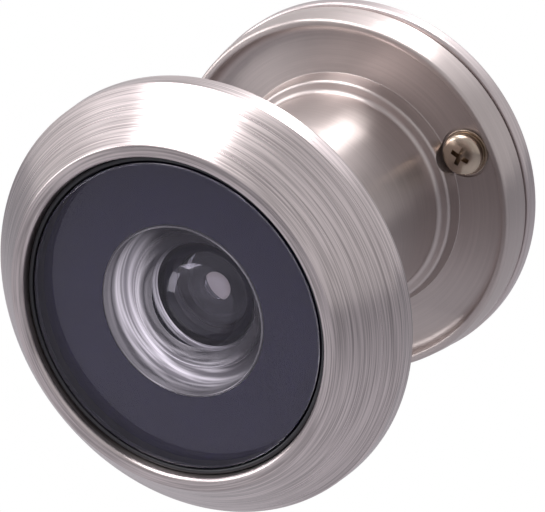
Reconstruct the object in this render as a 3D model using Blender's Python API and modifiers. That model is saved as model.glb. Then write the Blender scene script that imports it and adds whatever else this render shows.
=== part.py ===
"""Wide-angle door viewer with a swinging privacy cover.

Lengths are given in millimetres and turned into metres where a mesh is made.
The barrel lies along +Y: y = 0 is the face of the outdoor bezel that rests on
the door, the bezel and its glass are at negative y, the indoor flange and the
cover at positive y. Z is up.
"""

import math

import bmesh
import bpy

MM = 0.001

# Clearances
GAP = 0.2                 # between pieces that are clamped or seated
RUNNING_GAP = 0.3         # between pieces that move on one another
OVERRUN = 1.0             # how far a cutter stands out past the face it cuts

# The door and the thread
DOOR_GAP = 35.0           # seat to seat with the viewer screwed fully home
NECK_R = 13.75            # outside of the sleeve that lines the door's hole
SLEEVE_WALL = 1.75
SLEEVE_SHORT = 1.2        # the sleeve's outdoor end stands this far inside the door
SLEEVE_BREAK = 0.4
BARREL_WALL = 1.4
BARREL_SHORT = 5.0        # the barrel's indoor end stands this far short of the lip
BARREL_RELIEF = 0.7       # depth of the undercut behind the barrel's flange
BARREL_BREAK = 0.5

# Bezel
BEZEL_R = 26.0
BEZEL_DEPTH = 8.2         # seat to front land
BEZEL_BAND = 2.3          # width of the band round the rim
BAND_DRAFT = 0.2          # how much the band narrows towards the bevel
OPENING_R = 19.0
LAND_WIDTH = 1.45
LAND_THICK = 1.6          # front land to the shoulder behind it
LIP = 0.45                # rounding of the opening's edge
POCKET_STEP = 1.1         # width of the shoulder
EDGE_BREAK = 0.25

# Outdoor lens, its seal and mask
SEAL_SIDE = 0.15          # between the opening and the seal's lip
SEAL_LIP = 0.55           # width of the seal's standing lip
SEAL_SINK = 0.1           # top of the lip below the front of the glass
SEAL_FOOT = 0.5           # thickness of the seal's foot
SEAL_ROOM = 0.4           # between the foot and the rim of the glass
GLASS_RIM_SIDE = 0.4      # between the pocket and the rim of the glass
GLASS_RIM_THICK = 1.9
GLASS_BOSS_RISE = 1.7     # front of the glass above its rim
GLASS_CHAMFER = 0.3
HUB_LENGTH = 7.0          # back of the rim to the hub's indoor end
HUB_WALL = 1.7            # at the mouth of the hollow
BOWL_FLOOR = 5.6          # glass left between the hollow and the front
MASK_THICK = 0.4
BARREL_FLANGE_SINK = 0.3  # barrel's flange stands this far inside the seat

# Lens stack in the barrel
SPACER_WALL = 1.4
FRONT_SPACER_LENGTH = 2.4
SECOND_LENS_LENGTH = 4.4
SECOND_LENS_CORE = 1.4
SECOND_LENS_RIM = 2.9     # width of the flat round its hollow face
STOP_THICK = 0.5
STOP_HOLE_R = 3.8
MIDDLE_SPACER_LENGTH = 2.6
REAR_SPACER_LENGTH = 3.2
THIRD_LENS_EDGE = 2.0
THIRD_LENS_BULGE = 1.4
LENS_SEAT = 1.9           # flat ring round a convex lens's faces
RING_LENGTH = 2.0
RING_WALL = 1.7
RING_SLOT = 1.6           # width of a retaining ring's two spanner slots
RING_SLOT_DEPTH = 0.9

# Pivot screw, washer and spring
SHANK_R = 1.5
SHANK_SIDE = 0.15         # between the shank and what it turns in
SHANK_BREAK = 0.3
TAP_SIDE = 0.1            # between the shank and its hole in the cover
HEAD_R = 2.6
HEAD_HEIGHT = 1.8
HEAD_CROWN = 0.5
HEAD_ROUND = 0.35
HEAD_SIDE = 0.6           # between the head and its counterbore
RECESS_MARGIN = 1.1       # end of the cross recess to the head's edge
RECESS_WIDTH = 0.62
RECESS_DEPTH = 1.1
RECESS_TURN = math.radians(25.0)
COUNTERBORE_DEPTH = 0.35
WASHER_MARGIN = 0.3       # washer stands out past the head
WASHER_THICK = 0.4
WASHER_FLOAT = 0.05       # under the washer
HEAD_FLOAT = 0.1          # under the head
SPRING_WIDTH = 1.3
SPRING_SIDE = 0.2         # between the shank and the spring washer
SPRING_THICK = 0.6
SPRING_POCKET_SIDE = 0.4
SPRING_POCKET_DEPTH = 0.8

# Indoor flange
COLLAR_WIDTH = 1.55
COLLAR_SINK = 0.45        # collar stands this far below the lip
COLLAR_FILLET = 1.4
COLLAR_EDGE = 0.15
COLLAR_FLARE = 1.1        # width of the slope down from the collar
COLLAR_FOOT = 0.5         # rounding at the foot of that slope
PIVOT_OFFSET = 3.0        # collar's edge to the pivot axis
PIVOT_ANGLE = math.radians(26.3)
FLANGE_MARGIN = 2.3       # counterbore to the rim
LIP_DRAFT = 0.65          # lip's outside smaller than the rim
LIP_ROUND = 0.6
LIP_SWELL = 0.4           # rim larger than the lip where that rounding ends
LIP_WIDTH = 0.85
DISH_DEPTH = 2.4
DISH_ROUND = 2.2          # rounding between the dish and the lip
FLANGE_PLATE = 2.4        # dish floor to the back face
RIM_BREAK = 0.4
RIM_BELLY = 0.05
RIM_WAIST = 2.2           # back face to where the rim starts to narrow
EYE_STEP = 2.1            # sleeve's bore larger than the eyepiece pocket
EYE_SHOULDER = 1.3        # width of the eyepiece's shoulder
EYE_SHOULDER_LENGTH = 1.4
EYE_EDGE = 1.8
EYE_BULGE_FRONT = 1.2
EYE_BULGE_BACK = 1.5
EYE_RING_WALL = 1.3
EYE_RING_SINK = 0.3       # ring's back face below the flange's back face

# Cover and lining
COVER_MARGIN = 0.4        # cover larger than the flange
COVER_THICK = 2.8         # inner face to the start of the crown
COVER_CROWN = 0.6
COVER_CROWN_MARGIN = 1.6
COVER_ROUND = 1.2         # crown's edge down to the straight part of the rim
COVER_SHOULDER = 0.45     # crown's edge down to the middle of that rounding
COVER_BREAK = 0.6
COVER_BELLY = 0.05
COVER_SKIN = 0.5          # metal left behind the screw's hole
LINING_MARGIN = 0.1       # lining larger than the eyepiece pocket
LINING_THICK = 0.5
LINING_SINK = 0.1         # lining below the cover's inner face

# Segments round the axis
LARGE = 60
MEDIUM = 40
SMALL = 24

# Radii that follow from the sizes above
SLEEVE_BORE_R = NECK_R - SLEEVE_WALL
THREAD_R = SLEEVE_BORE_R - RUNNING_GAP
BARREL_BORE_R = THREAD_R - BARREL_WALL
HUB_R = BARREL_BORE_R - RUNNING_GAP
ELEMENT_R = BARREL_BORE_R - GAP
POCKET_R = OPENING_R + POCKET_STEP
GLASS_RIM_R = POCKET_R - GLASS_RIM_SIDE
SEAL_OUTER_R = OPENING_R - SEAL_SIDE
SEAL_INNER_R = SEAL_OUTER_R - SEAL_LIP
GLASS_BOSS_R = SEAL_INNER_R - GAP
COLLAR_R = NECK_R + COLLAR_WIDTH
PIVOT_RADIUS = COLLAR_R + PIVOT_OFFSET
COUNTERBORE_R = HEAD_R + HEAD_SIDE
FLANGE_R = PIVOT_RADIUS + COUNTERBORE_R + FLANGE_MARGIN
EYE_POCKET_R = SLEEVE_BORE_R - EYE_STEP
COVER_R = FLANGE_R + COVER_MARGIN
LINING_R = EYE_POCKET_R + LINING_MARGIN
WASHER_R = HEAD_R + WASHER_MARGIN
SPRING_R = SHANK_R + SPRING_SIDE + SPRING_WIDTH

# Levels along the axis that follow from them
SHOULDER_Y = LAND_THICK - BEZEL_DEPTH
GLASS_STEP_Y = SHOULDER_Y + GAP + SEAL_FOOT + SEAL_ROOM
GLASS_FRONT_Y = GLASS_STEP_Y - GLASS_BOSS_RISE
GLASS_BACK_Y = GLASS_STEP_Y + GLASS_RIM_THICK
HUB_END_Y = GLASS_BACK_Y + HUB_LENGTH
MASK_Y = GLASS_BACK_Y + GAP
BARREL_END_Y = DOOR_GAP - BARREL_SHORT
SLEEVE_STOP_Y = DOOR_GAP - EYE_SHOULDER_LENGTH
DISH_FLOOR_Y = DOOR_GAP + DISH_DEPTH
FLANGE_BACK_Y = DISH_FLOOR_Y + FLANGE_PLATE
COVER_FACE_Y = FLANGE_BACK_Y + RUNNING_GAP
COVER_BACK_Y = COVER_FACE_Y + COVER_THICK
COUNTERBORE_Y = DISH_FLOOR_Y + COUNTERBORE_DEPTH
WASHER_Y = COUNTERBORE_Y - WASHER_FLOAT - WASHER_THICK
HEAD_SEAT_Y = COUNTERBORE_Y - WASHER_THICK - HEAD_FLOAT
TAP_END_Y = COVER_BACK_Y - COVER_SKIN
PIVOT = (PIVOT_RADIUS * math.cos(PIVOT_ANGLE), PIVOT_RADIUS * math.sin(PIVOT_ANGLE))


def clear_scene():
    for obj in list(bpy.data.objects):
        bpy.data.objects.remove(obj, do_unlink=True)


def new_collection(name):
    collection = bpy.data.collections.new(name)
    bpy.context.scene.collection.children.link(collection)
    return collection


def principled(name, colour, roughness, metallic, transmission=0.0):
    material = bpy.data.materials.new(name)
    material.use_nodes = True
    shader = material.node_tree.nodes["Principled BSDF"]
    shader.inputs["Base Color"].default_value = (*colour, 1.0)
    shader.inputs["Roughness"].default_value = roughness
    shader.inputs["Metallic"].default_value = metallic
    shader.inputs["Transmission Weight"].default_value = transmission
    return material


def arc(centre_r, centre_y, radius, start, end, count):
    """Points on a circle in the (r, y) half plane, angles in degrees from +r."""
    points = []
    for i in range(count + 1):
        angle = math.radians(start + (end - start) * i / count)
        points.append((centre_r + radius * math.cos(angle), centre_y + radius * math.sin(angle)))
    return points


def dome(y_pole, y_edge, edge_r, count):
    """Spherical cap from the pole on the axis out to (edge_r, y_edge)."""
    rise = y_edge - y_pole
    radius = (edge_r ** 2 + rise ** 2) / (2.0 * rise)
    points = []
    for i in range(count + 1):
        r = edge_r * i / count
        points.append((r, y_pole + radius - math.copysign(math.sqrt(radius ** 2 - r ** 2), radius)))
    return points


def half_oval(mouth_r, y_pole, y_mouth, count):
    """Quarter of an ellipse from the pole on the axis out to the mouth."""
    points = []
    for i in range(count + 1):
        angle = math.radians(90.0 * i / count)
        points.append((mouth_r * math.sin(angle), y_mouth + (y_pole - y_mouth) * math.cos(angle)))
    return points


def turned(name, profile, segments, material, collection, closed=True, centre=(0.0, 0.0)):
    """Turn a profile of (r, y) points about a line along +Y through (x, z) = centre.

    The points run down the outer side, from high y to low y. An open profile
    starts and ends on the axis.
    """
    mesh = bpy.data.meshes.new(name)
    verts = [(r * MM, 0.0, y * MM) for r, y in profile]
    edges = [(i, i + 1) for i in range(len(verts) - 1)]
    if closed:
        edges.append((len(verts) - 1, 0))
    mesh.from_pydata(verts, edges, [])
    obj = bpy.data.objects.new(name, mesh)
    obj.rotation_euler = (-math.pi / 2.0, 0.0, 0.0)
    obj.location = (centre[0] * MM, 0.0, centre[1] * MM)
    collection.objects.link(obj)
    screw = obj.modifiers.new("turn", "SCREW")
    screw.axis = "Z"
    screw.angle = 2.0 * math.pi
    screw.steps = segments
    screw.render_steps = segments
    screw.use_merge_vertices = True
    screw.merge_threshold = 0.00001
    screw.use_smooth_shade = True
    if material is not None:
        mesh.materials.append(material)
    return obj


def block(name, size, location, turn, collection):
    """A box cutter, turned about the line along Y."""
    mesh = bpy.data.meshes.new(name)
    bm = bmesh.new()
    bmesh.ops.create_cube(bm, size=1.0)
    bmesh.ops.scale(bm, vec=[s * MM for s in size], verts=bm.verts)
    bm.to_mesh(mesh)
    bm.free()
    obj = bpy.data.objects.new(name, mesh)
    obj.location = [c * MM for c in location]
    obj.rotation_euler = (0.0, turn, 0.0)
    collection.objects.link(obj)
    as_cutter(obj)
    return obj


def as_cutter(obj):
    obj.hide_render = True
    obj.display_type = "WIRE"


def cut(obj, cutter):
    boolean = obj.modifiers.new("cut", "BOOLEAN")
    boolean.operation = "DIFFERENCE"
    boolean.solver = "EXACT"
    boolean.object = cutter


def rod_cutter(name, radius, y_start, y_end, centre, segments, collection):
    profile = [(0.0, y_end), (radius, y_end), (radius, y_start), (0.0, y_start)]
    obj = turned(name, profile, segments, None, collection, closed=False, centre=centre)
    as_cutter(obj)
    return obj


def make_bezel(metal, parts):
    profile = [
        (BEZEL_R - EDGE_BREAK, 0.0),
        (BEZEL_R, -EDGE_BREAK),
        (BEZEL_R - BAND_DRAFT, -BEZEL_BAND),
        (OPENING_R + LAND_WIDTH, -BEZEL_DEPTH),
        (OPENING_R + LIP, -BEZEL_DEPTH),
        (OPENING_R, -BEZEL_DEPTH + LIP),
        (OPENING_R, SHOULDER_Y),
        (POCKET_R, SHOULDER_Y),
        (POCKET_R, 0.0),
    ]
    return turned("outer_bezel", profile, LARGE, metal, parts)


def make_seal(rubber, parts):
    foot_y = SHOULDER_Y + GAP
    top_y = GLASS_FRONT_Y + SEAL_SINK
    profile = [
        (POCKET_R - GAP, foot_y + SEAL_FOOT),
        (POCKET_R - GAP, foot_y),
        (SEAL_OUTER_R, foot_y),
        (SEAL_OUTER_R, top_y),
        (SEAL_INNER_R, top_y),
        (SEAL_INNER_R, foot_y + SEAL_FOOT),
    ]
    return turned("lens_seal", profile, LARGE, rubber, parts)


def make_front_lens(glass, parts):
    mouth_r = HUB_R - HUB_WALL
    hollow = half_oval(mouth_r, GLASS_FRONT_Y + BOWL_FLOOR, HUB_END_Y, 9)
    profile = hollow + [
        (HUB_R, HUB_END_Y),
        (HUB_R, GLASS_BACK_Y),
        (GLASS_RIM_R, GLASS_BACK_Y),
        (GLASS_RIM_R, GLASS_STEP_Y),
        (GLASS_BOSS_R, GLASS_STEP_Y),
        (GLASS_BOSS_R, GLASS_FRONT_Y + GLASS_CHAMFER),
        (GLASS_BOSS_R - GLASS_CHAMFER, GLASS_FRONT_Y),
        (0.0, GLASS_FRONT_Y),
    ]
    return turned("front_lens", profile, LARGE, glass, parts, closed=False)


def make_mask(black, parts):
    return tube("mask_ring", BARREL_BORE_R, GLASS_RIM_R, MASK_Y, MASK_Y + MASK_THICK, LARGE, black, parts)


def make_barrel(metal, parts):
    front = MASK_Y + MASK_THICK + GAP
    flange_r = POCKET_R - RUNNING_GAP
    neck_r = THREAD_R - BARREL_RELIEF
    profile = [
        (THREAD_R - BARREL_BREAK, BARREL_END_Y),
        (THREAD_R, BARREL_END_Y - BARREL_BREAK),
        (THREAD_R, SLEEVE_SHORT),
        (neck_r, SLEEVE_SHORT - BARREL_RELIEF),
        (neck_r, -BARREL_FLANGE_SINK),
        (flange_r, -BARREL_FLANGE_SINK),
        (flange_r, front),
        (BARREL_BORE_R, front),
        (BARREL_BORE_R, BARREL_END_Y),
    ]
    return turned("front_barrel", profile, LARGE, metal, parts)


def tube(name, inner, outer, y_start, y_end, segments, material, parts, centre=(0.0, 0.0)):
    profile = [(outer, y_end), (outer, y_start), (inner, y_start), (inner, y_end)]
    return turned(name, profile, segments, material, parts, centre=centre)


def make_second_lens(start, glass, parts):
    end = start + SECOND_LENS_LENGTH
    hollow = dome(start + SECOND_LENS_CORE, end, ELEMENT_R - SECOND_LENS_RIM, 6)
    profile = hollow + [(ELEMENT_R, end), (ELEMENT_R, start), (0.0, start)]
    turned("second_lens", profile, MEDIUM, glass, parts, closed=False)
    return end


def convex_lens(name, radius, y_start, edge, front_bulge, back_bulge, glass, parts):
    """Biconvex lens with a flat ground seat round both faces, its edge starting at y_start."""
    clear_r = radius - LENS_SEAT
    y_end = y_start + edge
    back = dome(y_end + back_bulge, y_end, clear_r, 5)
    front = dome(y_start - front_bulge, y_start, clear_r, 5)
    front.reverse()
    profile = back + [(radius, y_end), (radius, y_start)] + front
    return turned(name, profile, MEDIUM, glass, parts, closed=False)


def retaining_ring(name, inner, outer, y_start, length, metal, parts, cutters):
    """Threaded ring with two spanner slots across its indoor face."""
    ring = tube(name, inner, outer, y_start, y_start + length, MEDIUM, metal, parts)
    size = (RING_SLOT, 2.0 * RING_SLOT_DEPTH, 2.0 * (outer + OVERRUN))
    slot = block(name + "_slot", size, (0.0, y_start + length, 0.0), 0.0, cutters)
    cut(ring, slot)
    return ring


def make_flange(metal, parts, cutters):
    lip_r = FLANGE_R - LIP_DRAFT
    lip_inner_r = lip_r - LIP_WIDTH
    collar_y = DOOR_GAP + COLLAR_SINK
    profile = [
        (FLANGE_R - RIM_BREAK, FLANGE_BACK_Y),
        (FLANGE_R, FLANGE_BACK_Y - RIM_BREAK),
        (FLANGE_R - RIM_BELLY, FLANGE_BACK_Y - RIM_WAIST),
        (lip_r + LIP_SWELL, DOOR_GAP + LIP_ROUND),
        (lip_r, DOOR_GAP),
        (lip_inner_r, DOOR_GAP),
    ]
    profile += arc(lip_inner_r - DISH_ROUND, DISH_FLOOR_Y - DISH_ROUND, DISH_ROUND, 0.0, 90.0, 5)
    profile += [
        (COLLAR_R + COLLAR_FLARE, DISH_FLOOR_Y),
        (COLLAR_R + COLLAR_FOOT, DISH_FLOOR_Y - COLLAR_FOOT),
        (COLLAR_R, collar_y + COLLAR_EDGE),
    ]
    profile += arc(NECK_R + COLLAR_FILLET, collar_y - COLLAR_FILLET, COLLAR_FILLET, 90.0, 180.0, 5)
    profile += [
        (NECK_R, SLEEVE_SHORT + SLEEVE_BREAK),
        (NECK_R - SLEEVE_BREAK, SLEEVE_SHORT),
        (SLEEVE_BORE_R, SLEEVE_SHORT),
        (SLEEVE_BORE_R, SLEEVE_STOP_Y),
        (EYE_POCKET_R - EYE_SHOULDER, SLEEVE_STOP_Y),
        (EYE_POCKET_R - EYE_SHOULDER, DOOR_GAP),
        (EYE_POCKET_R, DOOR_GAP),
        (EYE_POCKET_R, FLANGE_BACK_Y),
    ]
    flange = turned("inner_flange", profile, LARGE, metal, parts)
    hole = rod_cutter("pivot_hole", SHANK_R + SHANK_SIDE, DOOR_GAP, FLANGE_BACK_Y + OVERRUN,
                      PIVOT, SMALL, cutters)
    counterbore = rod_cutter("head_counterbore", COUNTERBORE_R, DOOR_GAP - OVERRUN, COUNTERBORE_Y,
                             PIVOT, MEDIUM, cutters)
    pocket = rod_cutter("spring_pocket", SPRING_R + SPRING_POCKET_SIDE, FLANGE_BACK_Y - SPRING_POCKET_DEPTH,
                        FLANGE_BACK_Y + OVERRUN, PIVOT, MEDIUM, cutters)
    for cutter in (hole, counterbore, pocket):
        cut(flange, cutter)
    return flange


def make_cover(metal, parts, cutters):
    recess_r = LINING_R + GAP
    recess_y = COVER_FACE_Y + LINING_SINK + LINING_THICK + GAP
    crown = dome(COVER_BACK_Y + COVER_CROWN, COVER_BACK_Y, COVER_R - COVER_CROWN_MARGIN, 4)
    profile = crown + [
        (COVER_R - COVER_BREAK, COVER_BACK_Y - COVER_SHOULDER),
        (COVER_R, COVER_BACK_Y - COVER_ROUND),
        (COVER_R - COVER_BELLY, COVER_FACE_Y + COVER_BREAK),
        (COVER_R - COVER_BREAK, COVER_FACE_Y),
        (recess_r, COVER_FACE_Y),
        (recess_r, recess_y),
        (0.0, recess_y),
    ]
    cover = turned("privacy_cover", profile, LARGE, metal, parts, closed=False)
    hole = rod_cutter("cover_hole", SHANK_R + TAP_SIDE, COVER_FACE_Y - OVERRUN, TAP_END_Y,
                      PIVOT, SMALL, cutters)
    cut(cover, hole)
    return cover


def make_lining(felt, parts):
    start = COVER_FACE_Y + LINING_SINK
    end = start + LINING_THICK
    profile = [(0.0, end), (LINING_R, end), (LINING_R, start), (0.0, start)]
    return turned("cover_lining", profile, MEDIUM, felt, parts, closed=False)


def make_pivot_screw(metal, parts, cutters):
    face = HEAD_SEAT_Y - HEAD_HEIGHT
    end = TAP_END_Y - GAP
    crown = dome(face, face + HEAD_CROWN, HEAD_R - HEAD_ROUND, 4)
    crown.reverse()
    profile = [
        (0.0, end),
        (SHANK_R - SHANK_BREAK, end),
        (SHANK_R, end - SHANK_BREAK),
        (SHANK_R, HEAD_SEAT_Y),
        (HEAD_R, HEAD_SEAT_Y),
        (HEAD_R, face + HEAD_CROWN + HEAD_ROUND),
    ] + crown
    screw = turned("pivot_screw", profile, SMALL, metal, parts, closed=False, centre=PIVOT)
    size = (2.0 * (HEAD_R - RECESS_MARGIN), 2.0 * RECESS_DEPTH, RECESS_WIDTH)
    for i in range(2):
        turn = RECESS_TURN + i * math.pi / 2.0
        cut(screw, block("cross_%d" % i, size, (PIVOT[0], face, PIVOT[1]), turn, cutters))
    return screw


def make_spacer(name, bore_r, start, length, metal, parts):
    tube(name, bore_r, ELEMENT_R, start, start + length, MEDIUM, metal, parts)
    return start + length


def make_lens_stack(glass, metal, parts, cutters):
    spacer_bore_r = ELEMENT_R - SPACER_WALL
    end = make_spacer("front_spacer", spacer_bore_r, HUB_END_Y + GAP, FRONT_SPACER_LENGTH, metal, parts)
    end = make_second_lens(end + GAP, glass, parts)
    end = make_spacer("middle_spacer", spacer_bore_r, end + GAP, MIDDLE_SPACER_LENGTH, metal, parts)
    end = make_spacer("aperture_stop", STOP_HOLE_R, end + GAP, STOP_THICK, metal, parts)
    end = make_spacer("rear_spacer", spacer_bore_r, end + GAP, REAR_SPACER_LENGTH, metal, parts)
    start = end + GAP
    convex_lens("third_lens", ELEMENT_R, start, THIRD_LENS_EDGE, THIRD_LENS_BULGE, THIRD_LENS_BULGE,
                glass, parts)
    end = start + THIRD_LENS_EDGE
    retaining_ring("objective_ring", ELEMENT_R - RING_WALL, ELEMENT_R, end + GAP, RING_LENGTH,
                   metal, parts, cutters)


def make_eyepiece(glass, metal, parts, cutters):
    outer_r = EYE_POCKET_R - GAP
    start = DOOR_GAP + GAP
    convex_lens("eyepiece_lens", outer_r, start, EYE_EDGE, EYE_BULGE_FRONT, EYE_BULGE_BACK, glass, parts)
    ring_start = start + EYE_EDGE + GAP
    ring_length = FLANGE_BACK_Y - EYE_RING_SINK - ring_start
    retaining_ring("eyepiece_ring", outer_r - EYE_RING_WALL, outer_r, ring_start, ring_length,
                   metal, parts, cutters)


def build():
    clear_scene()
    parts = new_collection("door_viewer")
    cutters = new_collection("door_viewer_cutters")

    nickel = principled("satin_nickel", (0.56, 0.51, 0.50), 0.32, 1.0)
    bare_brass = principled("plated_brass", (0.60, 0.56, 0.52), 0.28, 1.0)
    screw_metal = principled("screw_metal", (0.52, 0.45, 0.36), 0.22, 1.0)
    spring_steel = principled("spring_steel", (0.55, 0.55, 0.56), 0.3, 1.0)
    glass = principled("clear_glass", (0.95, 0.96, 0.97), 0.02, 0.0, 1.0)
    black_rubber = principled("black_rubber", (0.02, 0.02, 0.023), 0.6, 0.0)
    black_mask = principled("black_mask", (0.012, 0.012, 0.014), 0.5, 0.0)
    black_anodised = principled("black_anodised", (0.03, 0.03, 0.032), 0.45, 0.2)
    felt = principled("pale_felt", (0.62, 0.56, 0.56), 0.95, 0.0)

    make_bezel(nickel, parts)
    make_seal(black_rubber, parts)
    make_front_lens(glass, parts)
    make_mask(black_mask, parts)
    make_barrel(bare_brass, parts)

    make_lens_stack(glass, black_anodised, parts, cutters)
    make_flange(nickel, parts, cutters)
    make_eyepiece(glass, black_anodised, parts, cutters)
    make_pivot_screw(screw_metal, parts, cutters)
    tube("pivot_washer", SHANK_R + SHANK_SIDE, WASHER_R, WASHER_Y, WASHER_Y + WASHER_THICK, SMALL,
         screw_metal, parts, centre=PIVOT)
    spring_start = FLANGE_BACK_Y - SPRING_POCKET_DEPTH + GAP
    tube("spring_washer", SHANK_R + SPRING_SIDE, SPRING_R, spring_start, spring_start + SPRING_THICK, SMALL,
         spring_steel, parts, centre=PIVOT)
    make_cover(nickel, parts, cutters)
    make_lining(felt, parts)


build()
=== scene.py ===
import math

import bpy
import numpy as np
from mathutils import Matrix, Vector


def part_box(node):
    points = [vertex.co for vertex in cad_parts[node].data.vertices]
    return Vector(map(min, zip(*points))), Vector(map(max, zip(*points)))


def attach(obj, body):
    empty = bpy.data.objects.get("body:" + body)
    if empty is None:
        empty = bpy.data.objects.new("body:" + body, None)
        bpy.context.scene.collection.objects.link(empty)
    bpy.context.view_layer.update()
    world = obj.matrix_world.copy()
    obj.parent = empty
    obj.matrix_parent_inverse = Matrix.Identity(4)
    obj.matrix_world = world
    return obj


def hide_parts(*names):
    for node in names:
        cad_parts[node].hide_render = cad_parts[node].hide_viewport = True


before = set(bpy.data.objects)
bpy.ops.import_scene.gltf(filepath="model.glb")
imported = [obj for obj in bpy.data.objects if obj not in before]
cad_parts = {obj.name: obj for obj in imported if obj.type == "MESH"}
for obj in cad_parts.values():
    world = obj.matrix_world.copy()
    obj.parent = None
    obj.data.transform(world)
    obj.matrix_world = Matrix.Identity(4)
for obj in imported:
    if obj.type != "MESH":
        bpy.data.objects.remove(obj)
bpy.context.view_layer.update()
MM = 0.001

# ---------------------------------------------------------------------------
# The studio. The viewer floats over a pale table in a white tent that is
# brightest overhead and behind, with three softboxes inside it. The camera
# sees table and tent as plain white, the metal mirrors them as they are.
# ---------------------------------------------------------------------------
EYE = Vector((110.4, -199.5, 98.2)) * MM
AIM = Vector((1.2, 15.0, -0.3)) * MM
LENS_MM = 144.6
SENSOR_MM = 36.0
WHITE = (1.0, 1.0, 1.0, 1.0)
TENT_COLOUR = (0.97, 0.97, 1.0, 1.0)
TENT_BASE = 0.66
# Direction, degrees that are fully lit, degrees where it has faded, strength added
TENT_PATCHES = [
    ((0.58, -0.62, 0.52), 5, 30, 0.12),
    ((0.75, 0.62, 0.10), 10, 50, 0.1),
    ((-0.56, -0.20, 0.80), 6, 40, 0.75),
    ((0.05, 0.70, 0.70), 6, 34, 1.2),
    ((-0.9, 0.4, -0.1), 10, 60, 0.1),
]
TABLE_LEVEL = -0.16
TABLE_REACH = 4.0
TABLE_COLOUR = (0.37, 0.37, 0.39, 1.0)

camera_data = bpy.data.cameras.new("camera")
camera_data.lens = LENS_MM
camera_data.sensor_width = SENSOR_MM
camera_data.clip_start = 0.01
camera_data.clip_end = 10.0
camera = bpy.data.objects.new("camera", camera_data)
camera.location = EYE
camera.rotation_mode = "QUATERNION"
camera.rotation_quaternion = (AIM - EYE).to_track_quat("-Z", "Y")
bpy.context.scene.collection.objects.link(camera)
bpy.context.scene.camera = camera
bpy.context.scene.view_settings.view_transform = "Standard"


def plug(tree, socket, value):
    """Sets a socket to a number, vector or colour, or joins it to another socket."""
    if isinstance(value, bpy.types.NodeSocket):
        tree.links.new(value, socket)
    else:
        socket.default_value = value


def set_inputs(tree, node, **inputs):
    """Plugs a value into each named input, with _ for the spaces in its name."""
    for name, value in inputs.items():
        plug(tree, node.inputs[name.replace("_", " ")], value)


def add_node(tree, kind, **inputs):
    """A new shader node with its named inputs set."""
    node = tree.nodes.new(kind)
    set_inputs(tree, node, **inputs)
    return node


def step(tree, operation, *values):
    """The result of one sum on numbers or sockets."""
    node = tree.nodes.new("ShaderNodeMath")
    node.operation = operation
    for socket, value in zip(node.inputs, values):
        plug(tree, socket, value)
    return node.outputs[0]


def vector_step(tree, operation, result, *values):
    """One result of a sum on vectors; None leaves an input as it is."""
    node = tree.nodes.new("ShaderNodeVectorMath")
    node.operation = operation
    for socket, value in zip(node.inputs, values):
        if value is not None:
            plug(tree, socket, value)
    return node.outputs[result]


def remap(tree, value, low, high, out_low=0.0, out_high=1.0, smooth=False):
    """Carries low..high over to out_low..out_high, held level past both ends."""
    node = add_node(tree, "ShaderNodeMapRange", Value=value, From_Min=low, From_Max=high,
                    To_Min=out_low, To_Max=out_high)
    if smooth:
        node.interpolation_type = "SMOOTHSTEP"
    return node.outputs["Result"]


def by_ray(tree, for_camera, for_light):
    """One shader where the camera looks straight at it, another for all other rays."""
    path = tree.nodes.new("ShaderNodeLightPath")
    mix = add_node(tree, "ShaderNodeMixShader", Fac=path.outputs["Is Camera Ray"])
    tree.links.new(for_light.outputs[0], mix.inputs[1])
    tree.links.new(for_camera.outputs[0], mix.inputs[2])
    return mix.outputs[0]


def new_material(name):
    """A material with its node tree and its main shader."""
    material = bpy.data.materials.new(name)
    material.use_nodes = True
    return material, material.node_tree, material.node_tree.nodes["Principled BSDF"]


def tent_patch(tree, direction, centre, inner_deg, outer_deg):
    """1 within inner_deg of the centre's direction, falling smoothly to 0 at outer_deg."""
    towards = vector_step(tree, "DOT_PRODUCT", "Value", direction, Vector(centre).normalized())
    low, high = math.cos(math.radians(outer_deg)), math.cos(math.radians(inner_deg))
    return remap(tree, towards, low, high, smooth=True)


world = bpy.data.worlds.new("tent")
bpy.context.scene.world = world
world.use_nodes = True
world_tree = world.node_tree
world_tree.nodes.clear()
looking = world_tree.nodes.new("ShaderNodeTexCoord").outputs["Generated"]
brightness = TENT_BASE
for centre, inner_deg, outer_deg, gain in TENT_PATCHES:
    patch = tent_patch(world_tree, looking, centre, inner_deg, outer_deg)
    brightness = step(world_tree, "MULTIPLY_ADD", patch, gain, brightness)
tent = add_node(world_tree, "ShaderNodeBackground", Color=TENT_COLOUR, Strength=brightness)
backdrop = add_node(world_tree, "ShaderNodeBackground", Color=WHITE, Strength=1.0)
add_node(world_tree, "ShaderNodeOutputWorld", Surface=by_ray(world_tree, backdrop, tent))


def softbox(name, place, aim, width, height, watts):
    """A rectangular area light, seen in reflections and not by the camera."""
    data = bpy.data.lights.new(name, "AREA")
    data.shape = "RECTANGLE"
    data.size = width
    data.size_y = height
    data.energy = watts
    light = bpy.data.objects.new(name, data)
    light.location = place
    light.rotation_mode = "QUATERNION"
    light.rotation_quaternion = (Vector(aim) - Vector(place)).to_track_quat("-Z", "Y")
    light.visible_camera = False
    bpy.context.scene.collection.objects.link(light)


softbox("overhead", (-0.17, -0.12, 0.40), (0.0, 0.01, 0.0), width=0.26, height=0.26, watts=1.2)
softbox("back_strip", (0.03, 0.15, 0.34), (0.0, 0.03, 0.0), width=0.12, height=0.26, watts=1.0)
softbox("side", (-0.42, -0.24, 0.12), (0.0, 0.0, 0.0), width=0.22, height=0.3, watts=0.8)

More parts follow.
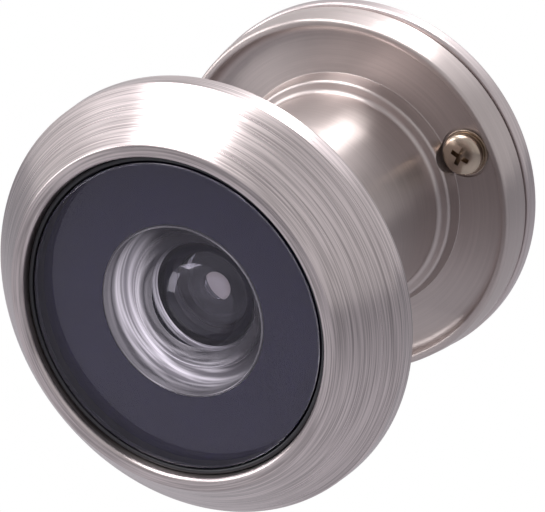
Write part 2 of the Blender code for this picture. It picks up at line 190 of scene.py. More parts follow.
table_mesh = bpy.data.meshes.new("table")
table_signs = ((-1, -1), (1, -1), (1, 1), (-1, 1))
table_corners = [(x * TABLE_REACH, y * TABLE_REACH, TABLE_LEVEL) for x, y in table_signs]
table_mesh.from_pydata(table_corners, [], [(0, 1, 2, 3)])
table = bpy.data.objects.new("table", table_mesh)
bpy.context.scene.collection.objects.link(table)
table_paint, table_tree, table_shader = new_material("table_paint")
set_inputs(table_tree, table_shader, Base_Color=TABLE_COLOUR, Roughness=0.9)
table_glow = add_node(table_tree, "ShaderNodeEmission", Strength=1.0)
table_surface = by_ray(table_tree, table_glow, table_shader)
set_inputs(table_tree, table_tree.nodes["Material Output"], Surface=table_surface)
table_mesh.materials.append(table_paint)

# ---------------------------------------------------------------------------
# Outdoor bezel. A brass ring turned on a lathe, plated satin nickel and
# brushed round its axis: flat front land, wide bevel of some 45 degrees and
# a short band at the back. The lines of the brush run round the ring.
# ---------------------------------------------------------------------------
BEZEL_R = 26.0
BEZEL_DEPTH = 8.2
BEZEL_BAND = 2.3
BEZEL_EDGE_R = 25.8
LAND_R = 20.45
OPENING_R = 19.0
SHOULDER_DEPTH = 6.6
POCKET_R = 20.1
NICKEL = (0.57, 0.50, 0.495)
MOST_OF_A_SIDE = 0.46
ON_AXIS = 1e-6
QUARTER_TURN = 0.25


def softened(corners, arc_points=6, support=0.14):
    """Rounds the corners of a profile of (r, y, rounding), in mm.

    Each corner with a rounding becomes an arc that meets both its sides
    squarely: the arc's centre lies on the bisector, at radius over the sine
    of half the corner's angle, and the radius is held down where a side is
    short. A point is added a little way along each side, so that the flat
    stays flat when it is shaded smooth. The ends of an open profile, and a
    corner that meets a curve, have a rounding of 0.
    """
    points = np.array([corner[:2] for corner in corners], float)
    out = []
    for i, here in enumerate(points):
        radius = corners[i][2]
        if radius <= 0.0:
            out.append(here)
            continue
        before = points[i - 1] - here
        after = points[(i + 1) % len(points)] - here
        before_length, after_length = np.linalg.norm(before), np.linalg.norm(after)
        before, after = before / before_length, after / after_length
        half = 0.5 * np.arccos(np.clip(before @ after, -1.0, 1.0))
        reach = min(radius / np.tan(half), MOST_OF_A_SIDE * before_length, MOST_OF_A_SIDE * after_length)
        radius = reach * np.tan(half)
        bisector = (before + after) / np.linalg.norm(before + after)
        centre = here + bisector * radius / np.sin(half)
        first, last = here + before * reach - centre, here + after * reach - centre
        swing = np.arctan2(first[0] * last[1] - first[1] * last[0], first @ last)
        t = np.linspace(0.0, swing, arc_points)
        arc_r = np.cos(t) * first[0] - np.sin(t) * first[1]
        arc_y = np.sin(t) * first[0] + np.cos(t) * first[1]
        if before_length - reach > 2.5 * support:
            out.append(here + before * (reach + support))
        out.extend(centre + np.stack([arc_r, arc_y], 1))
        if after_length - reach > 2.5 * support:
            out.append(here + after * (reach + support))
    return np.array(out)


def lathe(name, profile, sides=240, centre=(0.0, 0.0)):
    """Turns a profile of (r, y) in mm about a line along +Y through (x, z) = centre.

    Point (i, j) is at x = r_i cos a_j, y = y_i, z = r_i sin a_j, with a_j the
    j-th of equal steps round the circle. A profile that starts and ends on the
    axis gives a solid closed by a pole at each end, any other a closed ring.
    The UV map runs round the circle in u and along the profile in v.
    """
    profile = np.asarray(profile, float)
    r, y = profile[:, 0], profile[:, 1]
    solid = r[0] < ON_AXIS
    ring = profile[1:-1] if solid else profile
    rows = len(ring)
    a = 2.0 * np.pi * np.arange(sides) / sides
    x = ring[:, :1] * np.cos(a) + centre[0]
    z = ring[:, :1] * np.sin(a) + centre[1]
    verts = np.stack([x, np.repeat(ring[:, 1:], sides, axis=1), z], -1).reshape(-1, 3)

    # One quad between each row and the next, and between each step and the next
    i = np.arange(rows - 1 if solid else rows)[:, None]
    j = np.arange(sides)[None, :]
    here, below = i * sides, (i + 1) % rows * sides
    j_next = (j + 1) % sides
    quads = np.stack([here + j, here + j_next, below + j_next, below + j], -1).reshape(-1, 4)
    faces = quads.tolist()

    # Corners of the same quads on the UV map: v is the length along the profile
    length = np.concatenate([[0.0], np.cumsum(np.hypot(np.diff(r), np.diff(y)))]) * MM
    v = length[1:-1] if solid else length
    v_next = np.append(v[1:], v[-1] + np.hypot(*(profile[0] - profile[-1])) * MM)
    flat = np.zeros((len(i), sides))
    u0, u1 = j / sides + flat, (j + 1) / sides + flat
    v0, v1 = v[i] + flat, v_next[i] + flat
    uv = np.stack([np.stack([u0, u1, u1, u0], -1), np.stack([v0, v0, v1, v1], -1)], -1).reshape(-1, 2)

    if solid:
        first_pole, last_pole = len(verts), len(verts) + 1
        verts = np.vstack([verts, [centre[0], y[0], centre[1]], [centre[0], y[-1], centre[1]]])
        last_row = (rows - 1) * sides
        j, j_next = j[0], j_next[0]
        faces += np.stack([np.full(sides, first_pole), j_next, j], -1).tolist()
        faces += np.stack([np.full(sides, last_pole), last_row + j, last_row + j_next], -1).tolist()
        middle, low, high = (j + 0.5) / sides, j / sides, (j + 1) / sides
        start, end = np.zeros(sides), np.full(sides, length[-1])
        first_v, last_v = np.full(sides, v[0]), np.full(sides, v[-1])
        first_fan = np.stack([middle, start, high, first_v, low, first_v], -1).reshape(-1, 2)
        last_fan = np.stack([middle, end, low, last_v, high, last_v], -1).reshape(-1, 2)
        uv = np.vstack([uv, first_fan, last_fan])

    mesh = bpy.data.meshes.new(name)
    mesh.from_pydata((verts * MM).tolist(), [], faces)
    mesh.uv_layers.new(name="round").data.foreach_set("uv", uv.astype(np.float32).ravel())
    p0, p1, p2 = (verts[quads[:, corner]] for corner in range(3))
    middle_point = np.array([centre[0], y.mean(), centre[1]])
    if np.sum((p0 - middle_point) * np.cross(p1 - p0, p2 - p0)) < 0.0:
        mesh.flip_normals()
    mesh.shade_smooth()
    obj = bpy.data.objects.new(name, mesh)
    bpy.context.scene.collection.objects.link(obj)
    return obj


def fit(obj, material, body, node):
    """Gives a piece its finish, sets it on its body and lets it stand for its node."""
    obj.data.materials.clear()
    obj.data.materials.append(material)
    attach(obj, body)
    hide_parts(node)


def about_axis(tree, position):
    """A position's part across the Y axis, its distance from that axis and its y."""
    split = add_node(tree, "ShaderNodeSeparateXYZ", Vector=position)
    across = add_node(tree, "ShaderNodeCombineXYZ", X=split.outputs["X"], Y=split.outputs["Z"]).outputs[0]
    return across, vector_step(tree, "LENGTH", "Value", across), split.outputs["Y"]


def bumped(tree, height, depth_um):
    """A surface normal tilted by a height of 0 to 1 that stands for depth_um."""
    bump = add_node(tree, "ShaderNodeBump", Strength=1.0, Distance=depth_um * 1e-6, Height=height)
    return bump.outputs["Normal"]


def turned_metal(name, colour, roughness, stretch, line_mm, depth_um, streak, lines=0.0, centre=(0.0, 0.0)):
    """Metal brushed on a lathe about a line along Y.

    Two noises are stretched round the axis: their inputs are the direction
    round the circle, slowly, and radius plus height, quickly. The fine one
    bumps the surface in lines line_mm apart and darkens it by up to lines,
    the broad one shifts colour and gloss by up to streak, in bands, as the
    brush bites more or less.
    """
    material, tree, shader = new_material(name)
    shift = add_node(tree, "ShaderNodeMapping", Location=(-centre[0] * MM, 0.0, -centre[1] * MM),
                     Vector=tree.nodes.new("ShaderNodeTexCoord").outputs["Object"])
    across, radius, height = about_axis(tree, shift.outputs["Vector"])
    unit = vector_step(tree, "NORMALIZE", "Vector", across)
    direction = add_node(tree, "ShaderNodeSeparateXYZ", Vector=unit)
    along = step(tree, "ADD", radius, height)

    def bands(round_scale, spacing_mm, detail):
        """Noise that changes every spacing_mm along the profile and slowly round the axis."""
        place = add_node(tree, "ShaderNodeCombineXYZ",
                         X=step(tree, "MULTIPLY", direction.outputs["X"], round_scale),
                         Y=step(tree, "MULTIPLY", direction.outputs["Y"], round_scale),
                         Z=step(tree, "MULTIPLY", along, 1.0 / (spacing_mm * MM)))
        noise = add_node(tree, "ShaderNodeTexNoise", Vector=place.outputs[0], Scale=1.0, Detail=detail,
                         Roughness=0.55)
        return noise.outputs["Fac"]

    fine = bands(1.8, line_mm, 2.0)
    broad = bands(1.1, line_mm * 3.2, 4.0)
    banded = remap(tree, broad, 0.3, 0.7, 1.0 - streak, 1.0 + streak)
    lined = remap(tree, fine, 0.35, 0.6, 1.0 - lines, 1.0 + 0.35 * lines)
    shade = step(tree, "MULTIPLY", banded, lined)
    tangent = tree.nodes.new("ShaderNodeTangent")
    tangent.direction_type = "UV_MAP"
    tangent.uv_map = "round"
    set_inputs(
        tree, shader,
        Base_Color=vector_step(tree, "SCALE", "Vector", colour, None, None, shade),
        Metallic=1.0,
        Roughness=remap(tree, broad, 0.3, 0.7, roughness * (1.0 - streak), roughness * (1.0 + streak)),
        Anisotropic=stretch,
        Anisotropic_Rotation=QUARTER_TURN,
        Tangent=tangent.outputs["Tangent"],
        Normal=bumped(tree, step(tree, "ADD", fine, broad), depth_um),
    )
    return material


bezel_profile = softened([
    (BEZEL_R, 0.0, 0.25),
    (BEZEL_EDGE_R, -BEZEL_BAND, 0.22),
    (LAND_R, -BEZEL_DEPTH, 0.28),
    (OPENING_R, -BEZEL_DEPTH, 0.45),
    (OPENING_R, -SHOULDER_DEPTH, 0.05),
    (POCKET_R, -SHOULDER_DEPTH, 0.05),
    (POCKET_R, 0.0, 0.1),
])
bezel_nickel = turned_metal("bezel_nickel", NICKEL, roughness=0.29, stretch=0.75, line_mm=0.2, depth_um=2.6,
                            streak=0.08, lines=0.36)
fit(lathe("bezel", bezel_profile, 320), bezel_nickel, "exterior", "outer_bezel")

# ---------------------------------------------------------------------------
# Seal. A moulded black rubber ring that centres the glass in the bezel and
# keeps rain out; its standing lip shows as a dark line round the glass.
# ---------------------------------------------------------------------------
SEAL_OUT_R = 19.9
SEAL_LIP_R = 18.85
SEAL_IN_R = 18.3
SEAL_FOOT_FRONT = -6.4
SEAL_FOOT_BACK = -5.9
SEAL_LIP_FRONT = -7.1


def moulded(name, colour, roughness, grain_mm, depth_um):
    """Moulded or felted skin: a fine noise bumps it and varies its shade and gloss."""
    material, tree, shader = new_material(name)
    noise = add_node(tree, "ShaderNodeTexNoise", Scale=1.0 / (grain_mm * MM), Detail=4.0,
                     Vector=tree.nodes.new("ShaderNodeTexCoord").outputs["Object"]).outputs["Fac"]
    shade = remap(tree, noise, 0.0, 1.0, 0.75, 1.25)
    set_inputs(
        tree, shader,
        Base_Color=vector_step(tree, "SCALE", "Vector", colour, None, None, shade),
        Roughness=remap(tree, noise, 0.0, 1.0, roughness * 0.8, roughness * 1.2),
        Normal=bumped(tree, noise, depth_um),
    )
    return material


seal_rubber = moulded("seal_rubber", (0.018, 0.017, 0.021), roughness=0.42, grain_mm=0.35, depth_um=6.0)
seal_profile = softened([
    (SEAL_OUT_R, SEAL_FOOT_BACK, 0.08),
    (SEAL_OUT_R, SEAL_FOOT_FRONT, 0.08),
    (SEAL_LIP_R, SEAL_FOOT_FRONT, 0.05),
    (SEAL_LIP_R, SEAL_LIP_FRONT, 0.22),
    (SEAL_IN_R, SEAL_LIP_FRONT, 0.22),
    (SEAL_IN_R, SEAL_FOOT_BACK, 0.08),
])
fit(lathe("seal", seal_profile), seal_rubber, "exterior", "lens_seal")

# ---------------------------------------------------------------------------
# Front glass. One pressed and polished piece of optical glass: a flat disc
# with a stepped rim, and behind its middle a hub with a deep round hollow,
# the first and strongest lens of the viewer. The hub's outside is left ground,
# and it carries a painted glow: emission that stands in for the light it catches.
GLASS_FRONT = -7.2
GLASS_BOSS_R = 18.1
GLASS_RIM_R = 19.7
GLASS_STEP = -5.5
GLASS_BACK = -3.6
HUB_R = 10.0
HUB_END = 3.4
BOWL_FLOOR = 5.6
BOWL_MOUTH_R = 8.3
EDGE_PAINT = (0.012, 0.011, 0.026)
EDGE_PAINT_ROUGHNESS = 0.4
GROUND_GLASS = (0.16, 0.15, 0.17)
GROUND_ROUGHNESS = 0.6
# Painted glow on the ground hub: emission colour in place of caught light, and where it is strongest
PAINTED_GLOW_COLOUR = (0.95, 0.88, 0.98)
GLOW_SIDE = (-0.72, 0.0, -0.69)
GLOW_FADE = (-2.0, 10.0)
GLOW_DEEP_FROM = -1.6
GLOW_RINGS = (1.5, 0.62, 0.13)
FRONT_EDGE = 0.22
SMEAR_ROUGHNESS = 0.03


def mixed(tree, where, first, second):
    """The first colour, and the second where the mask is 1."""
    node = tree.nodes.new("ShaderNodeMix")
    node.data_type = "RGBA"
    first_colour, second_colour, mixed_colour = node.inputs[6], node.inputs[7], node.outputs[2]
    tree.links.new(where, node.inputs["Factor"])
    for socket, value in ((first_colour, first), (second_colour, second)):
        plug(tree, socket, value if isinstance(value, bpy.types.NodeSocket) else (*value, 1.0))
    return mixed_colour


def painted_glow_level(tree, position, radius, height, front):
    """How much painted glow the ground hub gets, from 0 to 1: emission in place of the light it catches.

    It grows towards GLOW_SIDE and towards the hub's end, in rings from a noise
    over distance from the axis and height, a little broken along their way;
    the hub's front edge shows all round as a thin ring.
    """
    towards = vector_step(tree, "DOT_PRODUCT", "Value", position, GLOW_SIDE)
    side = remap(tree, towards, GLOW_FADE[0] * MM, GLOW_FADE[1] * MM, smooth=True)
    deep = remap(tree, height, GLOW_DEEP_FROM * MM, HUB_END * MM, 0.2, 1.0, smooth=True)
    x = add_node(tree, "ShaderNodeSeparateXYZ", Vector=position).outputs["X"]
    spacing = zip((radius, height, x), GLOW_RINGS)
    rings_at = [step(tree, "MULTIPLY", value, per_mm / MM) for value, per_mm in spacing]
    place = add_node(tree, "ShaderNodeCombineXYZ", X=rings_at[0], Y=rings_at[1], Z=rings_at[2]).outputs[0]
    noise = add_node(tree, "ShaderNodeTexNoise", Vector=place, Scale=1.0).outputs["Fac"]
    rings = remap(tree, noise, 0.42, 0.66, 0.16, 1.0)
    # A thin painted ring of light all round the hub's front edge
    edge = step(tree, "LESS_THAN", height, (front + FRONT_EDGE) * MM)
    lit = step(tree, "ADD", step(tree, "MULTIPLY", side, deep), step(tree, "MULTIPLY", edge, 0.55))
    return step(tree, "MULTIPLY", lit, rings)


def optical_glass(name, tint, ior, gloss, painted_beyond, ground_beyond=None):
    """Polished glass, a little smeared, with its edge painted black or left ground.

    The smears are a noise drawn out along one slanted direction, kept where
    it is highest, and they only raise the roughness. painted_beyond and
    ground_beyond are (r, y) corners in mm: the glass is black paint, or grey
    and frosted, where it is farther than r from the axis and behind y. The
    ground part also carries a painted glow, emission that stands in for light.
    """
    material, tree, shader = new_material(name)
    position = tree.nodes.new("ShaderNodeTexCoord").outputs["Object"]
    drawn_out = add_node(tree, "ShaderNodeMapping", Vector=position, Rotation=(0.0, 0.6, 0.0),
                         Scale=(60.0, 60.0, 420.0))
    noise = add_node(tree, "ShaderNodeTexNoise", Vector=drawn_out.outputs["Vector"], Detail=5.0)
    smears = remap(tree, noise.outputs["Fac"], 0.5, 0.85, 0.0, SMEAR_ROUGHNESS)
    _, radius, height = about_axis(tree, position)

    def beyond(corner):
        outside = step(tree, "GREATER_THAN", radius, corner[0] * MM)
        behind = step(tree, "GREATER_THAN", height, corner[1] * MM)
        return step(tree, "MULTIPLY", outside, behind)

    closed = beyond(painted_beyond)
    colour = mixed(tree, closed, tint, EDGE_PAINT)
    roughness = step(tree, "ADD", smears, step(tree, "MULTIPLY", closed, EDGE_PAINT_ROUGHNESS))
    if ground_beyond is not None:
        ground = step(tree, "MULTIPLY", beyond(ground_beyond), step(tree, "SUBTRACT", 1.0, closed))
        colour = mixed(tree, ground, colour, GROUND_GLASS)
        closed = step(tree, "ADD", closed, ground)
        roughness = step(tree, "ADD", roughness, step(tree, "MULTIPLY", ground, GROUND_ROUGHNESS))
        # Painted glow: emission on the ground hub that stands in for light caught in the glass
        level = step(tree, "MULTIPLY", ground, painted_glow_level(tree, position, radius, height, ground_beyond[1]))
        glow = mixed(tree, level, (0.0, 0.0, 0.0), PAINTED_GLOW_COLOUR)
        set_inputs(tree, shader, Emission_Color=glow, Emission_Strength=1.0)
    set_inputs(
        tree, shader,
        Base_Color=colour,
        Roughness=roughness,
        IOR=ior,
        Specular_IOR_Level=gloss,
        Specular_Tint=(0.92, 0.86, 1.0, 1.0),
        Transmission_Weight=step(tree, "SUBTRACT", 1.0, closed),
    )
    return material


def sphere_cap(edge_r, edge_y, pole_y, count):
    """Points from the pole on the axis to the edge, on the sphere through both.

    Its radius is (edge_r squared + rise squared) / twice the rise.
    """
    rise = edge_y - pole_y
    radius = (edge_r ** 2 + rise ** 2) / (2.0 * rise)
    end = np.arcsin(np.clip(edge_r / abs(radius), -1.0, 1.0))
    t = np.linspace(0.0, end, count)
    return np.stack([abs(radius) * np.sin(t), pole_y + radius * (1.0 - np.cos(t))], 1)


front_glass = optical_glass(
    "front_glass", (0.93, 0.93, 0.97), ior=1.52, gloss=0.5,
    painted_beyond=(GLASS_BOSS_R - 0.1, GLASS_FRONT + 0.2),
    ground_beyond=(BOWL_MOUTH_R + 0.05, GLASS_BACK + 0.1),
)
# The hollow is a quarter of an ellipse, from its floor on the axis out to its mouth
bowl_turn = np.linspace(0.0, 0.5 * np.pi, 48)
bowl_depth = HUB_END - GLASS_FRONT - BOWL_FLOOR
bowl = np.stack([BOWL_MOUTH_R * np.sin(bowl_turn), HUB_END - bowl_depth * np.cos(bowl_turn)], 1)
glass_edge = softened([
    (*bowl[-1], 0.0),
    (HUB_R, HUB_END, 0.15),
    (HUB_R, GLASS_BACK, 0.25),
    (GLASS_RIM_R, GLASS_BACK, 0.15),
    (GLASS_RIM_R, GLASS_STEP, 0.1),
    (GLASS_BOSS_R, GLASS_STEP, 0.1),
    (GLASS_BOSS_R, GLASS_FRONT, 0.3),
    (0.0, GLASS_FRONT, 0.0),
])
front = lathe("front_glass", np.vstack([bowl[:-1], glass_edge]))
fit(front, front_glass, "exterior", "front_lens")

# ---------------------------------------------------------------------------
# Mask. A thin black washer behind the glass's flat rim, so that only the
# hollow lens in the middle lets light through.
# ---------------------------------------------------------------------------
MASK_FRONT = -3.4
MASK_BACK = -3.0
BARREL_BORE_R = 10.3


def washer(name, inner, outer, front, back, edge, sides=160, centre=(0.0, 0.0)):
    """A flat ring with all four edges rounded by edge."""
    corners = [(outer, back, edge), (outer, front, edge), (inner, front, edge), (inner, back, edge)]
    return lathe(name, softened(corners), sides, centre)


mask_black = moulded("mask_black", (0.014, 0.011, 0.046), roughness=0.5, grain_mm=6.0, depth_um=0.1)
mask_black.node_tree.nodes["Principled BSDF"].inputs["Specular IOR Level"].default_value = 0.05
mask = washer("mask", BARREL_BORE_R, GLASS_RIM_R, MASK_FRONT, MASK_BACK, edge=0.05)
fit(mask, mask_black, "exterior", "mask_ring")

# ---------------------------------------------------------------------------
# Barrel. A brass tube with a flange that closes the back of the bezel and a
# screw thread of 1 mm pitch along its outside, on which the indoor half turns.
# ---------------------------------------------------------------------------
THREAD_R = 11.7
THREAD_DEPTH = 0.55
PITCH = 1.0
THREAD_START = 1.2
THREAD_END = 29.5
THREAD_RUN_OUT = 0.8
BARREL_END = 30.0
BARREL_END_R = 11.2
UNDERCUT_R = 11.0
UNDERCUT_END = 0.7
FLANGE_FRONT = -2.8
FLANGE_OUT_R = 19.8
FLANGE_REAR = -0.3


def threaded_tube(name, sides=120, rows_per_pitch=8):
    """The barrel: as the lathe, with a thread pressed into the outer wall.

    On the outer wall the radius is the crest less the depth times a triangle
    wave of (height over pitch minus turn), with a short run-out at both ends,
    so the crests climb one pitch each turn.
    """
    rows = int((THREAD_END - THREAD_START) / PITCH * rows_per_pitch)
    wall = np.stack([np.full(rows, THREAD_R), np.linspace(THREAD_END, THREAD_START, rows)], 1)
    inner_end = [
        (UNDERCUT_R, UNDERCUT_END),
        (UNDERCUT_R, FLANGE_REAR),
        (FLANGE_OUT_R, FLANGE_REAR),
        (FLANGE_OUT_R, FLANGE_FRONT),
        (BARREL_BORE_R, FLANGE_FRONT),
        (BARREL_BORE_R, BARREL_END),
    ]
    profile = np.vstack([[(BARREL_END_R, BARREL_END)], wall, inner_end])
    obj = lathe(name, profile, sides)
    co = np.zeros(len(obj.data.vertices) * 3, np.float32)
    obj.data.vertices.foreach_get("co", co)
    co = co.reshape(len(profile), sides, 3)
    turn = np.arange(sides)[None, :] / sides
    height = profile[:, 1:]
    groove = 1.0 - np.abs(2.0 * ((height / PITCH - turn) % 1.0) - 1.0)
    run_in = np.clip((height - THREAD_START) / THREAD_RUN_OUT, 0.0, 1.0)
    run_out = np.clip((THREAD_END - height) / THREAD_RUN_OUT, 0.0, 1.0)
    on_wall = np.zeros((len(profile), 1))
    on_wall[1:rows + 1] = 1.0
    shrink = 1.0 - on_wall * run_in * run_out * groove * THREAD_DEPTH / THREAD_R
    co[:, :, 0] *= shrink
    co[:, :, 2] *= shrink
    obj.data.vertices.foreach_set("co", co.ravel())
    obj.data.update()
    obj.data.set_sharp_from_angle(angle=math.radians(50.0))
    return obj


barrel_nickel = turned_metal("barrel_nickel", (0.2, 0.185, 0.18), roughness=0.35, stretch=0.4, line_mm=0.2,
                             depth_um=1.0, streak=0.08)
fit(threaded_tube("barrel"), barrel_nickel, "exterior", "front_barrel")

# ---------------------------------------------------------------------------
# Lens stack. Behind the front glass the barrel holds spacer, second lens,
# spacer, aperture stop, spacer and third lens, all dropped in from indoors
# and held by a slotted ring. The metal parts are black anodised aluminium.
# ---------------------------------------------------------------------------
STACK_R = 10.1
SEAT = 1.9
GLASS_BREAK = 0.12
SECOND_HOLLOW_R = 7.2
SECOND_CORE = 1.4
THIRD_EDGE = 2.0
THIRD_BULGE = 1.4
SPACER_BORE_R = 8.7
STOP_BORE_R = 3.8
SPACER_BREAK = 0.08
RING_BORE_R = 8.4
SLOT_WIDTH = 1.6
SLOT_DEPTH = 0.9


def biconvex(name, radius, start, edge, front_bulge, back_bulge):
    """A round lens with a flat ground seat round both of its bulging faces."""
    clear = radius - SEAT
    end = start + edge
    back = sphere_cap(clear, end, end + back_bulge, 24)
    front = sphere_cap(clear, start, start - front_bulge, 24)[::-1]
    rim = softened([
        (*back[-1], 0.0),
        (radius, end, GLASS_BREAK),
        (radius, start, GLASS_BREAK),
        (*front[0], 0.0),
    ])
    return lathe(name, np.vstack([back[:-1], rim, front[1:]]), 160)


def span(node):
    """Where a node's front and back faces stand along Y, in mm."""
    low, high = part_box(node)
    return low.y / MM, high.y / MM


second_start, second_end = span("second_lens")
hollow = sphere_cap(SECOND_HOLLOW_R, second_end, second_start + SECOND_CORE, 30)
second_edge = softened([
    (*hollow[-1], 0.0),
    (STACK_R, second_end, GLASS_BREAK),
    (STACK_R, second_start, GLASS_BREAK),
    (0.0, second_start, 0.0),
])
stack_glass = optical_glass("stack_glass", (0.94, 0.93, 0.97), ior=1.55, gloss=0.12,
                            painted_beyond=(SECOND_HOLLOW_R + 0.2, 0.0))
second_glass = lathe("second_glass", np.vstack([hollow[:-1], second_edge]), 160)
fit(second_glass, stack_glass, "exterior", "second_lens")
third_start = span("third_lens")[0] + THIRD_BULGE
third_glass = biconvex("third_glass", STACK_R, third_start, THIRD_EDGE, THIRD_BULGE, THIRD_BULGE)
fit(third_glass, stack_glass, "exterior", "third_lens")

anodised = turned_metal("anodised", (0.012, 0.012, 0.014), roughness=0.6, stretch=0.3, line_mm=0.25,
                        depth_um=0.8, streak=0.15)
for node in ("front_spacer", "middle_spacer", "aperture_stop", "rear_spacer"):
    bore = STOP_BORE_R if node == "aperture_stop" else SPACER_BORE_R
    ring = washer(node + "_ring", bore, STACK_R, *span(node), edge=SPACER_BREAK)
    fit(ring, anodised, "exterior", node)


def cut_away(obj, *cutters):
    """Cuts closed shapes out of a piece, for good, and throws the cutters away."""
    for cutter in cutters:
        cut = obj.modifiers.new("cut", "BOOLEAN")
        cut.operation = "DIFFERENCE"
        cut.solver = "EXACT"
        cut.object = cutter
    graph = bpy.context.evaluated_depsgraph_get()
    uncut = obj.data
    cut_mesh = bpy.data.meshes.new_from_object(obj.evaluated_get(graph), preserve_all_data_layers=True,
                                               depsgraph=graph)
    obj.modifiers.clear()
    obj.data = cut_mesh
    bpy.data.meshes.remove(uncut)
    for cutter in cutters:
        bpy.data.objects.remove(cutter, do_unlink=True)


def slab(centre, size, turn=0.0, taper=1.0):
    """A block about centre, with its size along x, y, z in mm, turned about Y.

    Its far end in y is taper times as wide as its near one.
    """
    x = 0.5 * size[0] * np.array([-1, 1, 1, -1, -1, 1, 1, -1])
    y = 0.5 * size[1] * np.array([-1, -1, -1, -1, 1, 1, 1, 1])
    z = 0.5 * size[2] * np.array([-1, -1, 1, 1, -1, -1, 1, 1])
    x = np.where(y > 0, x * taper, x)
    z = np.where(y > 0, z * taper, z)
    cosine, sine = math.cos(turn), math.sin(turn)
    points = np.stack([cosine * x + sine * z, y, cosine * z - sine * x], 1) + np.array(centre)
    faces = [(0, 1, 2, 3), (7, 6, 5, 4), (0, 4, 5, 1), (1, 5, 6, 2), (2, 6, 7, 3), (3, 7, 4, 0)]
    mesh = bpy.data.meshes.new("slab")
    mesh.from_pydata((points * MM).tolist(), [], faces)
    normal = np.cross(points[1] - points[0], points[2] - points[0])
    if normal @ (points[0] - points.mean(0)) < 0.0:
        mesh.flip_normals()
    obj = bpy.data.objects.new("slab", mesh)
    bpy.context.scene.collection.objects.link(obj)
    return obj


def slotted_ring(name, node, radius, body):
    """A retaining ring with two spanner slots across its indoor face."""
    front, back = span(node)
    ring = washer(name, RING_BORE_R, radius, front, back, edge=0.12)
    cut_away(ring, slab((0.0, back, 0.0), (SLOT_WIDTH, 2.0 * SLOT_DEPTH, 2.0 * radius + 2.0)))
    ring.data.set_sharp_from_angle(angle=math.radians(40.0))
    fit(ring, anodised, body, node)


slotted_ring("stack_ring", "objective_ring", STACK_R, "exterior")

# ---------------------------------------------------------------------------
# Indoor flange and sleeve. One brass turning, satin nickel all over: a smooth
# sleeve that lines the hole in the door and screws on to the barrel, a small
# collar, a dished face with a narrow lip that grips the door, a rounded rim.
# ---------------------------------------------------------------------------
DOOR_GAP = 35.0
NECK_R = 13.75
COLLAR_R = 15.3
COLLAR_SINK = 0.45
COLLAR_FOOT_R = 15.9
SLEEVE_START = 1.2
SLEEVE_BORE_R = 12.0
SLEEVE_STOP = 33.6
RIM_R = 23.8
RIM_BELLY = 0.05
RIM_WAIST = 2.2
LIP_OUT_R = 23.3
LIP_IN_R = 22.3
FLANGE_BACK = 39.8
DISH_FLOOR = 37.4
EYE_BORE_R = 8.6
EYE_POCKET_R = 9.9
PIVOT_R = 18.3
PIVOT_ANGLE = math.radians(26.3)
PIVOT = (PIVOT_R * math.cos(PIVOT_ANGLE), PIVOT_R * math.sin(PIVOT_ANGLE))
PIVOT_HOLE_R = 1.65
COUNTERBORE_R = 3.2
COUNTERBORE = 37.75
SPRING_POCKET_R = 3.4
SPRING_POCKET_DEPTH = 0.8

flange_profile = softened([
    (RIM_R, FLANGE_BACK, 0.4),
    (RIM_R - RIM_BELLY, FLANGE_BACK - RIM_WAIST, 1.2),
    (LIP_OUT_R, DOOR_GAP, 0.45),
    (LIP_IN_R, DOOR_GAP, 0.3),
    (LIP_IN_R, DISH_FLOOR, 2.2),
    (COLLAR_FOOT_R, DISH_FLOOR, 0.12),
    (COLLAR_R, DOOR_GAP + COLLAR_SINK, 0.5),
    (NECK_R, DOOR_GAP + COLLAR_SINK, 1.5),
    (NECK_R, SLEEVE_START, 0.4),
    (SLEEVE_BORE_R, SLEEVE_START, 0.1),
    (SLEEVE_BORE_R, SLEEVE_STOP, 0.05),
    (EYE_BORE_R, SLEEVE_STOP, 0.05),
    (EYE_BORE_R, DOOR_GAP, 0.05),
    (EYE_POCKET_R, DOOR_GAP, 0.05),
    (EYE_POCKET_R, FLANGE_BACK, 0.2),
], arc_points=10)
flange_nickel = turned_metal("flange_nickel", (0.52, 0.455, 0.44), roughness=0.34, stretch=0.85, line_mm=0.12,
                             depth_um=0.5, streak=0.05, lines=0.04)
flange = lathe("flange", flange_profile, 280)


def rod(radius, front, back, centre, sides=96):
    """A plain round bar along Y, used to cut a hole."""
    return lathe("rod", [(0.0, back), (radius, back), (radius, front), (0.0, front)], sides, centre)


cut_away(
    flange,
    rod(PIVOT_HOLE_R, DOOR_GAP, FLANGE_BACK + 1.0, PIVOT),
    rod(COUNTERBORE_R, DOOR_GAP - 2.0, COUNTERBORE, PIVOT),
    rod(SPRING_POCKET_R, FLANGE_BACK - SPRING_POCKET_DEPTH, FLANGE_BACK + 1.0, PIVOT),
)
flange.data.set_sharp_from_angle(angle=math.radians(35.0))
fit(flange, flange_nickel, "interior", "inner_flange")

# ---------------------------------------------------------------------------
# Eyepiece. The lens the eye looks into, dropped into the flange's back and
# held by a slotted ring that sits just below the face the cover slides over.
# ---------------------------------------------------------------------------
EYE_R = 9.7
EYE_START = 35.2
eye_glass = biconvex("eye_glass", EYE_R, EYE_START, edge=1.8, front_bulge=1.2, back_bulge=1.5)
fit(eye_glass, stack_glass, "eyepiece", "eyepiece_lens")
slotted_ring("eye_ring", "eyepiece_ring", EYE_R, "interior")

# ---------------------------------------------------------------------------
# Pivot. A small cross-headed pan screw, plated and a little brassy, with a
# flat washer under its head; it passes through the flange and is screwed into
# the cover. A spring washer between flange and cover gives the swing its drag.
# ---------------------------------------------------------------------------
SHANK_R = 1.5
SHANK_END = 42.2
HEAD_R = 2.6
HEAD_SEAT = 37.25
HEAD_FACE = 35.45
HEAD_SIDE = 0.75
CROWN_MARGIN = 0.3
CROWN_RISE = 0.5
RECESS_SIZE = (3.1, 2.2, 0.75)
RECESS_TAPER = 0.6
RECESS_TURN = 25.0
WASHER_BORE_R = 1.65
WASHER_R = 2.9
SPRING_BORE_R = 1.7
SPRING_R = 3.0

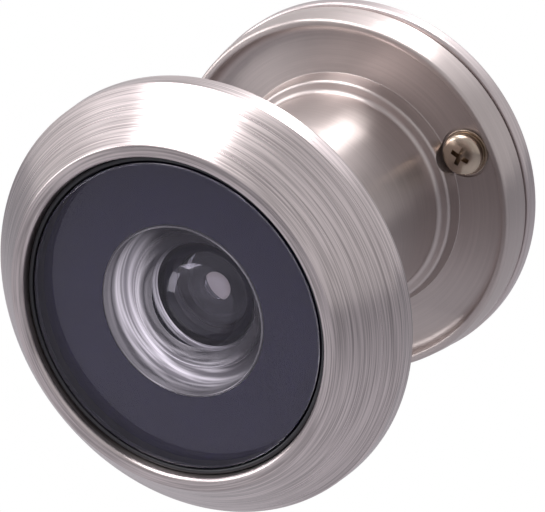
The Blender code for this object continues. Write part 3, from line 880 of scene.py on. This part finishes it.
crown = sphere_cap(HEAD_R - CROWN_MARGIN, HEAD_FACE + CROWN_RISE, HEAD_FACE, 16)[::-1]
screw_edge = softened([
    (0.0, SHANK_END, 0.0),
    (SHANK_R, SHANK_END, 0.3),
    (SHANK_R, HEAD_SEAT, 0.1),
    (HEAD_R, HEAD_SEAT, 0.15),
    (HEAD_R, HEAD_FACE + HEAD_SIDE, 0.25),
    (*crown[0], 0.0),
])
screw_metal = turned_metal("screw_plate", (0.44, 0.36, 0.29), roughness=0.2, stretch=0.2, line_mm=0.2,
                           depth_um=0.8, streak=0.08, lines=0.05, centre=PIVOT)
screw = lathe("screw", np.vstack([screw_edge, crown[1:]]), 96, PIVOT)
recess_centre = (PIVOT[0], HEAD_FACE + 0.1, PIVOT[1])
cut_away(screw, *[
    slab(recess_centre, RECESS_SIZE, math.radians(RECESS_TURN + quarter), RECESS_TAPER)
    for quarter in (0.0, 90.0)
])
screw.data.set_sharp_from_angle(angle=math.radians(30.0))
fit(screw, screw_metal, "cover", "pivot_screw")

screw_washer = washer("screw_washer", WASHER_BORE_R, WASHER_R, *span("pivot_washer"), edge=0.08,
                      sides=96, centre=PIVOT)
fit(screw_washer, screw_metal, "cover", "pivot_washer")
spring_steel = turned_metal("spring_plate", (0.5, 0.5, 0.52), roughness=0.28, stretch=0.2, line_mm=0.2,
                            depth_um=0.6, streak=0.08, lines=0.05, centre=PIVOT)
spring_ring = washer("spring_ring", SPRING_BORE_R, SPRING_R, *span("spring_washer"), edge=0.1,
                     sides=96, centre=PIVOT)
fit(spring_ring, spring_steel, "cover", "spring_washer")

# ---------------------------------------------------------------------------
# Privacy cover. A turned disc as wide as the flange, satin nickel, its back
# very slightly crowned and its edge rounded, that swings on the pivot screw
# to uncover the eyepiece. Its inner face has a shallow recess.
# ---------------------------------------------------------------------------
COVER_R = 24.2
COVER_BELLY = 0.05
COVER_FACE = 40.1
COVER_BACK = 42.9
COVER_CROWN = 0.6
COVER_CROWN_MARGIN = 1.2
COVER_SHOULDER = 0.5
LINING_R = 10.0
RECESS_R = 10.2
RECESS_FLOOR = 40.9
TAP_R = 1.6
TAP_END = 42.4

cover_crown = sphere_cap(COVER_R - COVER_CROWN_MARGIN, COVER_BACK, COVER_BACK + COVER_CROWN, 40)
cover_edge = softened([
    (*cover_crown[-1], 0.0),
    (COVER_R, COVER_BACK - COVER_SHOULDER, 0.9),
    (COVER_R - COVER_BELLY, COVER_FACE, 0.45),
    (RECESS_R, COVER_FACE, 0.15),
    (RECESS_R, RECESS_FLOOR, 0.05),
    (0.0, RECESS_FLOOR, 0.0),
], arc_points=8)
cover = lathe("cover_disc", np.vstack([cover_crown[:-1], cover_edge]), 280)
cut_away(cover, rod(TAP_R, COVER_FACE - 1.0, TAP_END, PIVOT))
cover.data.set_sharp_from_angle(angle=math.radians(35.0))
cover_nickel = turned_metal("cover_nickel", NICKEL, roughness=0.3, stretch=0.65, line_mm=0.18, depth_um=1.5,
                            streak=0.08, lines=0.15)
fit(cover, cover_nickel, "cover", "privacy_cover")

# ---------------------------------------------------------------------------
# Lining. A disc of pale felt glued into the cover's recess, which keeps light
# from showing through the viewer and the glass from being scratched. It has a
# painted glow: a little emission stands in for light soaking through thin felt.
# ---------------------------------------------------------------------------
felt = moulded("pale_felt", (0.62, 0.56, 0.56), roughness=0.95, grain_mm=0.12, depth_um=60.0)
felt_shader = felt.node_tree.nodes["Principled BSDF"]
# Painted glow: emission in place of light soaking through the felt
set_inputs(felt.node_tree, felt_shader, Emission_Color=(0.62, 0.54, 0.55, 1.0), Emission_Strength=0.45)
lining_front, lining_back = span("cover_lining")
lining_profile = softened([
    (0.0, lining_back, 0.0),
    (LINING_R, lining_back, 0.15),
    (LINING_R, lining_front, 0.15),
    (0.0, lining_front, 0.0),
])
fit(lathe("lining", lining_profile, 120), felt, "cover", "cover_lining")
